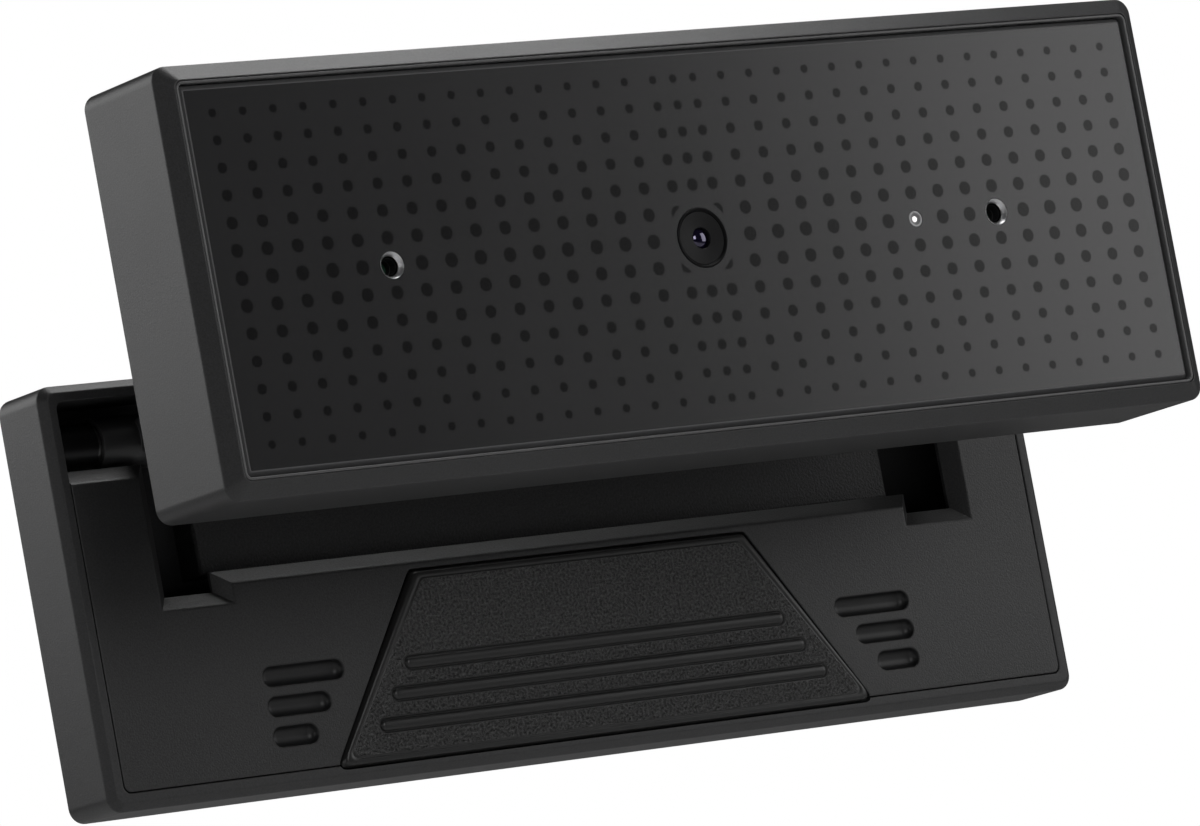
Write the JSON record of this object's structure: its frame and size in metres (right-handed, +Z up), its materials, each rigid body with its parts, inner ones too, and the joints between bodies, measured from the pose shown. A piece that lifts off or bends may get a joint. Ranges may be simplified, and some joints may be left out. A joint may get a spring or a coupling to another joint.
{
  "type": "clip-on television camera",
  "caption": "Clip-on camera bar with a dotted glass front, a folding hinge arm and a rear clamp unit with a ribbed grip pad.",
  "frame": {"origin": "on the clamp unit's grip pad, in the middle of its plain upper field, the face that presses on the back of the screen", "axes": "+X to the right of a viewer in front of the camera, along the long side; +Y back, away from the viewer; +Z up"},
  "size_m": [0.18, 0.0576, 0.1005],
  "materials": {
    "satin_black": "fine satin moulded plastic",
    "rim_black": "smooth semi-gloss",
    "front_glass": "smoked cover glass, printed black behind",
    "inner_plastic": "plain moulded",
    "anodised_black": "black anodised, satin",
    "lens_glass": "coated optical glass",
    "chip": "moulded package",
    "circuit_board": "solder mask",
    "soft_rubber": "soft silicone",
    "light_pipe": "clear moulded",
    "led_package": "white package",
    "tinned_steel": "tinned sheet",
    "heat_spreader": "plain sheet",
    "black_screws": "black oxide",
    "hinge_steel": "ground",
    "arm_metal": "fine satin paint on a die casting",
    "face_plastic": "fine satin moulded plastic",
    "grip_rubber": "grained rubber with smooth ribs",
    "textured_plastic": "spark-eroded texture",
    "bracket_black": "black oxide"
  },
  "bodies": {
    "clamp": {"clamp_shell": "satin_black", "clamp_face_panel": "face_plastic", "grip_pad": "grip_rubber", "recess_platform": "textured_plastic", "clamp_stiffener": "hinge_steel", "clamp_hinge_brackets": "bracket_black", "clamp_hinge_pins": "hinge_steel", "clamp_hinge_washers": "hinge_steel", "clamp_screws": "black_screws"},
    "arm": {"arm_leg_left": "arm_metal", "arm_leg_right": "arm_metal", "arm_web": "arm_metal", "web_screws": "black_screws", "screen_seat": "soft_rubber"},
    "head": {"head_shell": "satin_black", "head_bezel": "rim_black", "front_glass": "front_glass", "glass_carrier": "inner_plastic", "lens_ring": "anodised_black", "lens_window": "lens_glass", "lens_barrel": "anodised_black", "lens_elements": "lens_glass", "image_sensor": "chip", "camera_board": "circuit_board", "mic_port_rings": "rim_black", "mic_gaskets": "soft_rubber", "mic_boards": "circuit_board", "status_light_pipe": "light_pipe", "status_led": "led_package", "main_board": "circuit_board", "processor": "chip", "shield_can": "tinned_steel", "heat_spreader": "heat_spreader", "head_rear_cover": "satin_black", "cover_screws": "black_screws", "power_socket": "tinned_steel", "head_hinge_brackets": "hinge_steel", "head_hinge_pins": "hinge_steel", "head_hinge_washers": "hinge_steel"}
  },
  "joints": [
    {"name": "arm_hinge", "type": "hinge", "parent": "clamp", "child": "arm", "pos_m": [0, 0.0061, 0.0311], "axis": [1, 0, 0], "range_deg": [0, 78.07]},
    {"name": "head_hinge", "type": "hinge", "parent": "arm", "child": "head", "pos_m": [0, -0.02865, 0.03551], "axis": [1, 0, 0], "range_deg": [-78.07, 0]}
  ],
  "couplings": [
    {"joint": "head_hinge", "follows": "arm_hinge", "ratio": -1}
  ]
}
